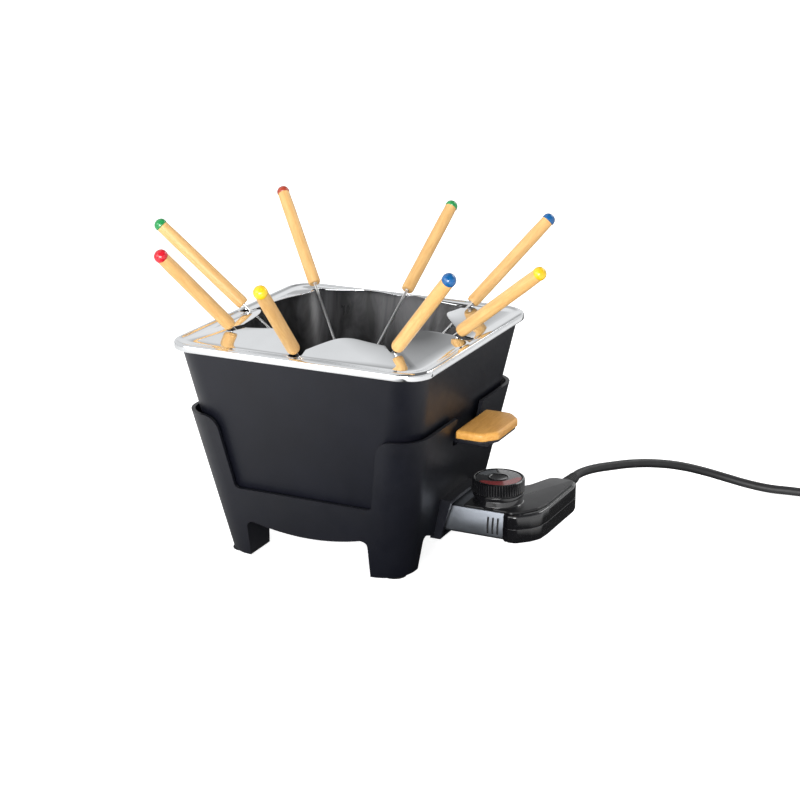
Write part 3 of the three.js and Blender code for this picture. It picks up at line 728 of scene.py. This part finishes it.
def side_slot(x0, x1):
    half, sill = SIDE_SLOT["half"], SIDE_SLOT["sill"]
    above = BASE["top"] + 10
    lip = (half, BASE["top"])
    return drawn("Slot", rounded(mirrored([(half, sill, 3.5), lip, (half, above)])), "X", x0, x1)


def leg_columns(inset, z0, z1, within):
    x, y = LEG["front_inner"] + inset, LEG["side_inner"] + inset
    columns = []
    for sx, sy in ((1, 1), (-1, 1), (-1, -1), (1, -1)):
        x0, x1 = sorted((sx * x, sx * 120))
        y0, y1 = sorted((sy * y, sy * 120))
        column = block("Column", x0, x1, y0, y1, z0, z1)
        columns.append(combine(column, "INTERSECT", base_block("Within", within, z0 - 1, 40)))
    return columns


def make_base():
    shell = base_block("base_shell", 0, BASE["underside"], BASE["top"])
    cut(shell, base_block("Hollow", BASE["wall"], BASE["underside"] - 3, BASE["top"] + 3))
    cut(shell, front_window("Window", -120, -60), front_window("Window", 60, 120))
    cut(shell, front_arch(), side_arch(), side_slot(-120, -60), side_slot(60, 120))
    join(shell, *leg_columns(0, BASE["underside"], LEG["roof"], 0.5))
    cut(shell, *leg_columns(LEG["skin"], BASE["underside"] - 3, LEG["roof"] - LEG["skin"], BASE["wall"]))
    join(shell, drawn("Collar", [(77, 18.8), (85.5, 18.8), (94.2, 51), (82, 51)], "Y", -26.5, 26.5))
    cut(shell, block("Mouth", 60, 110, -22.6, 22.6, 22.6, 47.4))
    flatten(shell)
    soften(shell, 0.8, 3)
    finish_piece(shell, "base", "base", "black_plastic", "base_frame")


def make_shield_screws():
    """Four cross-headed screws that hold the heat shield's raised pads."""
    for number, (sx, sy) in enumerate(((1, 1), (-1, 1), (-1, -1), (1, -1)), 1):
        screw = make_screw(f"shield_screw_{number}", 3.2)
        placed(screw, sx * 56, sy * 56, 31.2, spun(180, "X"))
        finish_piece(screw, "base", "steel", "steel")


def make_screw(name, radius):
    """A domed screw head with a cross recess, its seat at z = 0."""
    head = turned(name, rounded([(0, -1), (radius * 0.5, -1), (radius * 0.5, 0), (radius, 0, 0.2),
                                 (radius, 0.5, 0.4), (radius * 0.55, 1.5, 2.5), (0, 1.6)]), 32)
    for turn in (0, 90):
        slot = block("Recess", -radius * 0.55, radius * 0.55, -0.35, 0.35, 0.6, 3)
        placed(slot, 0, 0, 0, spun(turn, "Z"))
        cut(head, slot)
    smooth(head)
    return head


# -------- pot
def pot_half(z):
    return POT["foot"] + POT["taper"] * z


def make_pot():
    bottom, floor, wall, rim = POT["bottom"], POT["floor"], POT["wall"], POT["rim"]
    under = rim - 1.8
    outside = [
        (pot_half(bottom) - 14, bottom), (pot_half(bottom), bottom, 8),
        (pot_half(under - 0.6), under - 0.6, 0.4), (POT["flange"], under, 0.3), (POT["flange"], rim, 0.7),
    ]
    inner = pot_half(floor) - wall
    inside = [(pot_half(rim) - wall, rim, 1), (inner, floor, 13), (inner - 22, floor)]
    profile = rounded(outside + inside)
    rings = [square_ring(half, max(3, POT["corner"] - (pot_half(z) - half)), z, 16) for half, z in profile]
    pot = loft("pot_body", rings)
    smooth(pot, 40)
    finish_piece(pot, "base", ["pot", "inside"], "pot_coating", "pot_shell")
    paint_faces(pot, 1, lambda at, normal: floor - 0.5 < at.z < rim
                and (normal.x * at.x + normal.y * at.y < -0.1 or normal.z > 0.5))


def grip_outline(inner, outer, half):
    return rounded([(inner, -half, 1.5), (outer - 9.5, -half, 7), (outer, -half + 10.5, 7),
                    (outer, half - 10.5, 7), (outer - 9.5, half, 7), (inner, half, 1.5)], 8)


def crowned(name, outline, bottom, top, edge):
    """A slab with a domed upper edge: rings that shrink towards the outline's middle as they rise."""
    count = len(outline)
    middle = sum(outline, Vector((0, 0))) / count
    def ring(inset, z):
        points = []
        for p in outline:
            away = p - middle
            points.append((*(middle + away * (1 - inset / away.length)), z))
        return points
    rings = [ring(0.8, bottom), ring(0.2, bottom + 0.3), ring(0, bottom + 0.9)]
    for k in range(7):
        a = math.radians(90 * k / 6)
        rings.append(ring(edge * (1 - math.cos(a)), top - edge * 0.62 * (1 - math.sin(a)) - 0.4))
    rings.append(ring(edge + 4, top - 0.15))
    rings.append(ring(edge + 9, top))
    return loft(name, rings)


def make_handle(side, sign):
    """Bamboo grip on its black under-layer, and the two screws that hold it to its bracket."""
    turn = spun(0 if sign > 0 else 180, "Z")
    inner, outer, half, bottom = GRIP["inner"], GRIP["outer"], GRIP["half"], GRIP["bottom"]
    grip = crowned(f"grip_{side}", grip_outline(inner, outer, half), bottom, GRIP["top"], 3.4)
    placed(grip, turn=turn)
    smooth(grip, 50)
    finish_piece(grip, "base", "bamboo", "bamboo", f"handle_grip_{side}")
    below = grip_outline(inner + 0.5, outer - 1.2, half - 1)
    layer = drawn(f"grip_layer_{side}", below, "Z", bottom - 2.3, bottom)
    placed(layer, turn=turn)
    soften(layer, 0.5, 3)
    finish_piece(layer, "base", "base", "black_plastic", f"handle_underlay_{side}")
    arm = drawn(
        f"grip_arm_{side}",
        rounded([(pot_half(94) + 0.6, 95.2), (121, 95.2, 3), (124, 99.7, 1), (pot_half(99) + 0.5, 99.7)]),
        "Y", -20, 20,
    )
    placed(arm, turn=turn)
    soften(arm, 0.9, 3)
    finish_piece(arm, "base", "base", "black_plastic", f"handle_bracket_{side}")
    for number, y in ((1, -12), (2, 12)):
        screw = make_screw(f"grip_screw_{side}_{number}", 2.6)
        placed(screw, 112, y, 95.2, spun(180, "X"))
        placed(screw, turn=turn)
        finish_piece(screw, "base", "steel", "steel")


# -------- splash guard
def square_radius(half, corner, a):
    """Distance from the centre to a rounded square's edge, in the direction a."""
    quarter = math.pi / 2
    folded = abs((a + quarter / 2) % quarter - quarter / 2)
    centre = half - corner
    if half * math.tan(folded) <= centre:
        return half / math.cos(folded)
    total = math.cos(folded) + math.sin(folded)
    return centre * total + math.sqrt(corner ** 2 - centre ** 2 * (1 - math.sin(2 * folded)))


def opening_angles():
    """Where the edge of the opening changes shape, from a slot's middle: its round end and its mouth."""
    side = math.asin(OPENING["slot_half"] / OPENING["slot_centre"])
    return side, math.asin(OPENING["slot_half"] / OPENING["slot_mouth"])


def opening_radius(a):
    """Edge of the central opening: a rounded lobe between two fork slots. a is from the slot's middle."""
    slot_half, slot_centre, slot_mouth = (OPENING[k] for k in ("slot_half", "slot_centre", "slot_mouth"))
    side, mouth = opening_angles()
    if a <= side:
        rest = slot_half ** 2 - (slot_centre * math.sin(a)) ** 2
        return slot_centre * math.cos(a) + math.sqrt(max(0, rest))
    if a <= mouth:
        return slot_half / math.sin(a)
    half_sector = math.pi / OPENING["forks"]
    lobe = half_sector - a
    round_end = OPENING["tip_radius"]
    centre = OPENING["tip"] + round_end
    mouth_x = slot_mouth * math.cos(half_sector - mouth)
    mouth_y = slot_mouth * math.sin(half_sector - mouth)
    reach = math.hypot(centre - mouth_x, mouth_y)
    bearing = math.atan2(mouth_y, mouth_x - centre) + math.acos(round_end / reach)
    touch_x = centre + round_end * math.cos(bearing)
    touch_y = round_end * math.sin(bearing)
    if lobe <= math.atan2(touch_y, touch_x):
        return centre * math.cos(lobe) - math.sqrt(round_end ** 2 - (centre * math.sin(lobe)) ** 2)
    across = touch_x * mouth_y - touch_y * mouth_x
    return across / (math.cos(lobe) * (mouth_y - touch_y) - math.sin(lobe) * (mouth_x - touch_x))


def guard_section(a, offset):
    """(radius, z) round the sheet: up the rolled rim, over the flat, up the lobe and back underneath."""
    half, corner, top, skirt, sheet = (GUARD[k] for k in ("half", "corner", "top", "skirt", "sheet"))
    rolled = GUARD["rolled"]
    edge = opening_radius(offset)
    flat = square_radius(GUARD["flat"], 9, a)
    start = max(flat, edge + 0.8)

    def height(r):
        return top + 0.2 + GUARD["rise"] * max(0.0, flat - r) / (flat - OPENING["tip"])

    def at(inset):
        return square_radius(half - inset, corner - min(inset, 4), a)

    upper = [(at(0.5), skirt), (at(0.12), skirt + 0.15), (at(0), skirt + 0.6)]
    roll = 2.4
    for k in range(7):
        t = math.radians(90 * k / 6)
        upper.append((at(roll * (1 - math.cos(t))), top - roll * (1 - math.sin(t))))
    outer = at(5)
    if outer > start + 1:
        upper += [(outer, top), (outer - 0.5, top - 0.25)]
    else:
        upper += [(start + 1, top), (start + 0.7, top)]
    if at(6.5) > start:
        upper.append((start + (at(6.5) - start) * 0.5, top - 0.05))
    else:
        upper.append((start + 0.4, top + 0.05))
    rim = min(0.45, 0.5 * sheet)
    for share in (0, 0.12, 0.3, 0.5, 0.7, 0.86, 0.96):
        r = start + (edge + rim - start) * share
        upper.append((r, height(r)))
    upper += [(edge + 0.15, height(edge) - 0.1), (edge, height(edge) - 0.4), (edge, height(edge) - 0.7),
              (edge + 0.25, height(edge) - sheet)]
    lower = []
    for share in (0.7, 0.35, 0):
        r = start + (edge + rim - start) * share
        lower.append((r, height(r) - sheet))
    inside = at(rolled)
    turns_down = max(start + 0.5, at(6)) if at(6) < inside else inside - 0.2
    lower += [(turns_down, top - sheet), (inside, top - sheet - 0.4)]
    lower += [(inside, skirt + 0.4), (at(rolled - 0.5), skirt)]
    return upper + lower


def make_guard():
    side, mouth = opening_angles()
    half_sector = math.pi / OPENING["forks"]
    offsets = [side * math.sin(math.radians(90 * k / 12)) for k in range(13)]
    offsets += [side + (mouth - side) * k / 4 for k in range(1, 5)]
    offsets += [mouth + (half_sector - mouth) * k / 30 for k in range(1, 31)]
    columns = []
    for notch in range(OPENING["forks"]):
        middle = 2 * half_sector * notch
        columns += [(middle + a, a) for a in offsets[:-1]]
        columns += [(middle + 2 * half_sector - a, a) for a in reversed(offsets[1:])]
    sections = [guard_section(a, offset) for a, offset in columns]
    rings = []
    for row in range(len(sections[0])):
        ring = []
        for (a, _), section in zip(columns, sections):
            r, z = section[row]
            ring.append((*polar(r, a), z))
        rings.append(ring)
    guard = loft("guard_plate", rings, looped=True)
    smooth(guard, 40)
    finish_piece(guard, "guard", "mirror", "mirror_steel", "splash_guard")


# -------- forks
def fork_place(angle, radius, tilt, turn):
    z = REST["side"] if angle % 90 == 0 else REST["corner"]
    a = math.radians(angle)
    spot = Matrix.Translation(Vector((*polar(radius, a), z)) * MM)
    lean = spun(angle + turn, "Z") @ spun(90 - tilt, "Y")
    return spot @ lean


def make_fork(number, setting, cap_color):
    """A fork drawn upright with its handle's lower end at the origin, then leant into its slot."""
    body = f"fork_{number}"
    radius, wood_end = FORK["radius"], FORK["wood"]
    handle = turned(
        f"handle_{number}",
        rounded([(0, 0.6), (1.7, 0.6), (1.9, 0), (radius - 0.5, 0, 0.6), (radius, 2.2, 1.5),
                 (radius, wood_end - 14, 20), (radius - 0.25, wood_end + 0.15), (0, wood_end + 0.15)]),
        48,
    )
    end = wood_end + FORK["cap"]
    dome = [(0, wood_end + 0.15), (radius - 0.25, wood_end + 0.15), (radius + 0.1, wood_end + 0.7, 0.4)]
    for k in range(9):
        a = math.radians(10 * k)
        dome.append((radius * math.cos(a) + 0.12, wood_end + 1.9 + (end - wood_end - 1.9) * math.sin(a)))
    cap = turned(f"cap_{number}", rounded(dome) + [Vector((0, end))], 48)
    stem = turned(f"prong_{number}", rounded([
        (0, 24 - FORK["reach"]), (FORK["shaft"], 26 - FORK["reach"], 0.5), (FORK["shaft"], -0.4),
        (1.75, -0.3, 0.3), (1.75, 1), (0, 1),
    ]), 28)
    # the prongs' right half: neck, outer side, barb and point, inner side
    outline = rounded([
        (1.0, 30), (2.2, 21, 4), (2.2, 2.2), (1.55, 0), (1.2, 2), (1.75, 3.6), (0.95, 5), (0.95, 17, 0.9),
        (0, 18.2),
    ])
    outline += [Vector((-p.x, p.y)) for p in reversed(outline[:-1])]
    plate = drawn("Prongs", outline, "X", -0.75, 0.75)
    placed(plate, z=-FORK["reach"])
    join(stem, plate)
    smooth(stem, 35)
    parts = [
        (handle, "beech", "beech", "fork_handle"), (cap, cap_color, CAP_SLOTS[cap_color], "fork_cap"),
        (stem, "steel", "steel", "fork_shaft"),
    ]
    for part, material, slot, node_name in parts:
        if part is not stem:
            smooth(part, 50)
        part.matrix_world = fork_place(*setting)
        finish_piece(part, body, material, slot, f"{node_name}_{number}")


# -------- thermostat
def sleeve_outline(inset):
    """The sleeve's section in Y and Z: upright below the crease, leaning in slightly above it."""
    half = SLEEVE["half"] - inset
    low, high = SLEEVE["bottom"] + inset, SLEEVE["top"] - inset
    return rounded(mirrored([(half, low, 2.2), (half, SLEEVE["crease"]), (half - 2.4, high, 1.6)]))


def make_sleeve():
    inner, outer, half = SLEEVE["inner"], SLEEVE["outer"], SLEEVE["half"]
    sleeve = drawn("sleeve_cover", sleeve_outline(0), "X", inner, outer)
    cut(sleeve, drawn("Hollow", sleeve_outline(SLEEVE["wall"]), "X", inner - 5, outer + 5))
    for x in (121, 125, 129):
        vent = rounded([(x, 28, 0.79), (x + 1.6, 28, 0.79), (x + 1.6, 41, 0.79), (x, 41, 0.79)], 30)
        for side in (-1, 1):
            cut(sleeve, drawn("Vent", vent, "Y", *sorted((side * (half - 3), side * (half + 2)))))
    # painted shade: a dark liner inside the sleeve, behind the vents, so that they look shaded through
    shade_liner = drawn("sleeve_shade_liner", sleeve_outline(SLEEVE["wall"] + 0.1), "X", 118, 133)
    cut(shade_liner, drawn("Hollow", sleeve_outline(SLEEVE["wall"] + 0.8), "X", 110, 140))
    for each in (sleeve, shade_liner):
        cut(each, cylinder("Hole", KNOB["x"], 0, 3.4, 40, 50, 32))
    flatten(shade_liner)
    finish_piece(shade_liner, "thermostat", "rubber", "black_plastic")
    flatten(sleeve)
    soften(sleeve, 0.35, 2, 24)
    finish_piece(sleeve, "thermostat", ["silver", "rubber"], "silver_paint", "plug_sleeve")
    # painted shade: the vents' walls and the inside are dark, given the rubber material so that the slots
    # look shaded
    paint_faces(sleeve, 1, lambda at, normal: at.y * normal.y < 0
                or 120 < at.x < 131 and 27.5 < at.z < 41.5 and abs(normal.y) < 0.8)


def arm_outline():
    """The arm seen from above: a broad end against the sleeve, then a bend towards +Y."""
    return eased(rounded([
        (134.4, -21.2, 0.6), (139, -23, 3), (145, -22.5, 6), (154, -14, 12), (159, -5.5, 12),
        (160.3, 7, 12), (161, 39, 40), (161.5, 58.5, 8), (159.6, 68, 4), (142, 68, 3), (137, 64.5, 5),
        (134, 57, 12),
        (129.5, 45, 14), (120, 32, 14), (110, 23.5, 2), (110, 21.4), (134.4, 21.4, 0.6),
    ], 8))


def deck_outline():
    return eased(rounded([
        (101, -19, 2), (136, -19, 1), (140, -20.5, 3), (146, -15.5, 6), (155, -2.5, 8), (157.6, 8, 12),
        (158.5, 39, 40), (159, 58, 8), (157.4, 66.4, 3), (143, 66.4, 3), (138.4, 63.4, 4), (135.6, 56.6, 10),
        (130.6, 43.6, 14), (121, 31, 14), (110, 23, 10), (101, 20, 2),
    ], 8))


def cylinder(name, x, y, radius, z0, z1, sides=64):
    angles = [2 * math.pi * k / sides for k in range(sides)]
    return drawn(name, [(x + radius * math.cos(a), y + radius * math.sin(a)) for a in angles], "Z", z0, z1)


def make_shells():
    """The controller's two halves: the lower one plain, the upper with its deck and the knob's collar."""
    bottom, split, deck, top = (SHELL[k] for k in ("bottom", "split", "deck", "top"))
    cord_hole = cylinder("Hole", 0, 0, 5.9, -4, 4, 40)
    placed(cord_hole, RELIEF["x"], 67, RELIEF["z"], spun(90, "X"))
    lower = slab("case_lower", arm_outline(), bottom, split - 0.08, 2.2, 0.2)
    finish_piece(lower, "thermostat", "gloss", "gloss_black", "lower_shell")
    upper = slab("case_upper", arm_outline(), split + 0.08, deck, 0.2, 2)
    cut(upper, cord_hole)
    smooth(upper, 40)
    finish_piece(upper, "thermostat", "gloss", "gloss_black", "upper_shell")
    seam = drawn("case_seam", shrunk(arm_outline(), 0.35), "Z", split - 0.6, split + 0.6)
    smooth(seam)
    finish_piece(seam, "thermostat", "rubber", "black_plastic")
    lid = slab("case_deck", deck_outline(), deck - 0.4, top, 0.1, 1)
    cut(lid, cylinder("Hole", KNOB["x"], 0, 3.4, 40, 60, 32))
    smooth(lid, 40)
    finish_piece(lid, "thermostat", "deck", "black_plastic")
    collar = turned("knob_collar", rounded([
        (3.4, deck + 0.2), (19.4, deck + 0.2), (19.4, top, 0.1), (18.7, top + 0.6, 0.6),
        (18.3, KNOB["bottom"] - 0.35, 0.6), (3.4, KNOB["bottom"] - 0.35), (3.4, deck + 0.2),
    ]), 96)
    placed(collar, KNOB["x"])
    smooth(collar)
    finish_piece(collar, "thermostat", "gloss", "gloss_black")
    for number, (x, y) in enumerate(((146, -14), (153, 56), (142, 56)), 1):
        screw = make_screw(f"case_screw_{number}", 2.4)
        placed(screw, x, y, bottom + 0.4, spun(180, "X"))
        finish_piece(screw, "thermostat", "steel", "steel")


def make_knob():
    radius, bottom, groove, top = KNOB["radius"], KNOB["bottom"], KNOB["groove"], KNOB["top"]
    recess = KNOB["dial"] + 0.4
    profile = rounded([
        (0, 60), (3.4, 60), (3.4, bottom), (radius - 0.5, bottom, 0.3), (radius - 0.5, groove - 0.3, 0.4),
        (radius - 1.4, groove, 0.2), (radius - 1.4, groove + 0.5, 0.2), (radius, groove + 0.9, 0.2),
        (radius, top - 1.2), (radius - 0.2, top - 0.5), (radius - 0.8, top, 0.3), (recess + 0.3, top, 0.3),
        (recess, top - 2), (0, top - 2),
    ])
    ribs = 60
    ribbed = [p[0] > radius - 0.1 and p[1] > groove + 0.6 for p in profile]
    depth = 0.55 / radius

    def wave(share, k):
        return 1 - depth * abs(math.sin(math.pi * ribs * share)) ** 0.5 * ribbed[k]

    knob = turned("knob_body", profile, ribs * 8, wave)
    placed(knob, KNOB["x"])
    smooth(knob)
    finish_piece(knob, "knob", "gloss", "gloss_black", "control_knob")


def dial_patch(name, material, first, last, inner, outer, z0, z1, steps=40):
    """Print on the dial from angle first to last. inner gives its inner radius at a share of the way."""
    shares = [k / steps for k in range(steps + 1)]
    angles = [(t, math.radians(first + (last - first) * t)) for t in shares]
    outline = [polar(outer, a) for t, a in angles]
    outline += [polar(inner(t), a) for t, a in reversed(angles)]
    patch = placed(drawn(name, outline, "Z", z0, z1), KNOB["x"])
    return finish_piece(patch, "knob", material, "dial_print")


def make_dial():
    """A black disc with a raised middle, a red scale with pointed ends, a grey stretch and fine ticks."""
    low = KNOB["top"] - 1.9
    face = KNOB["top"] - 0.35
    disc = turned("dial_disc", rounded([
        (0, low), (KNOB["dial"], low), (KNOB["dial"], face, 0.2), (8.2, face), (7.9, face + 0.5, 0.2),
        (7.0, face + 0.6, 0.2), (6.5, face + 0.1, 0.2), (0, face),
    ]), 96)
    placed(disc, KNOB["x"])
    smooth(disc)
    finish_piece(disc, "knob", "gloss", "gloss_black", "knob_dial")
    under = face - 0.1

    def pointed(t):
        return 17.3 - 8.4 * math.sin(math.pi * min(1.0, 0.02 + 0.95 * t)) ** 0.35

    dial_patch("dial_red", "dial_red", -125, 24, pointed, 17.3, under, face + 0.1)
    dial_patch("dial_grey", "dial_grey", 120, 178, lambda t: 9.6, 16.6, under, face + 0.12)
    for number in range(6):
        a = 24 + 15 * number
        name = f"dial_tick_{number + 1}"
        dial_patch(name, "dial_grey", a - 0.8, a + 0.8, lambda t: 14, 16.2, under, face + 0.14, 2)


def make_relief():
    """The tapered strain relief, with flex grooves round it."""
    length = RELIEF["end"] - RELIEF["start"]
    profile = [(0, -3), (5.6, -3), (5.6, 2.4, 0.5)]
    for k in range(5):
        z = 3.2 + 3.2 * k
        r = 5.35 - 0.22 * k
        profile += [(r - 0.75, z, 0.3), (r - 0.75, z + 0.9, 0.3), (r, z + 1.2, 0.3)]
        profile.append((r - 0.05, z + 2.9, 0.3))
    profile += [(4.15, length - 0.6, 0.4), (0, length - 0.6)]
    boot = turned("cord_boot", rounded(profile), 48)
    placed(boot, RELIEF["x"], RELIEF["start"], RELIEF["z"], spun(-90, "X"))
    smooth(boot)
    finish_piece(boot, "thermostat", "rubber", "rubber", "strain_relief")


# -------- parts that the frame gives as they are
def finish_nodes():
    """Materials and softer edges for the CAD nodes that stay."""
    kept = {
        "heat_shield": ("sheet", 0.3), "heating_element": ("steel", 0), "socket_housing": ("base", 0.6),
        "contact_block": ("white", 0.5), "thermostat_switch": ("white", 0.8), "probe_rod": ("steel", 0),
        "knob_spindle": ("brass", 0), "terminal_pin_1": ("steel", 0), "terminal_pin_2": ("steel", 0),
        **{f"rubber_foot_{k}": ("rubber", 0.2) for k in (1, 2, 3, 4)},
    }
    for name, (material, edge) in kept.items():
        obj = frame["nodes"][name]
        obj.data.materials.clear()
        obj.data.materials.append(MATERIALS[material])
        if edge:
            soften(obj, edge, 2)


# -------- the set
scene.view_settings.view_transform = "Standard"
make_camera()
make_lead()
make_world()
make_floor()
softbox("Key", (-0.85, -1.45, 0.85), 1.5, 1.0, 11)
softbox("Fill", (0.5, -1.9, 0.5), 1.3, 0.8, 38)
softbox("Top", (0.2, 0.1, 1.9), 1.4, 1.6, 7, reflected=False)
softbox("Back", (0.7, 1.3, 1.2), 0.9, 0.7, 6)
make_base()
make_shield_screws()
make_pot()
make_handle("right", 1)
make_handle("left", -1)
make_guard()
for index, setting in enumerate(FORKS):
    make_fork(index + 1, setting, CAPS[index])
make_sleeve()
make_shells()
make_knob()
make_dial()
make_relief()
finish_nodes()
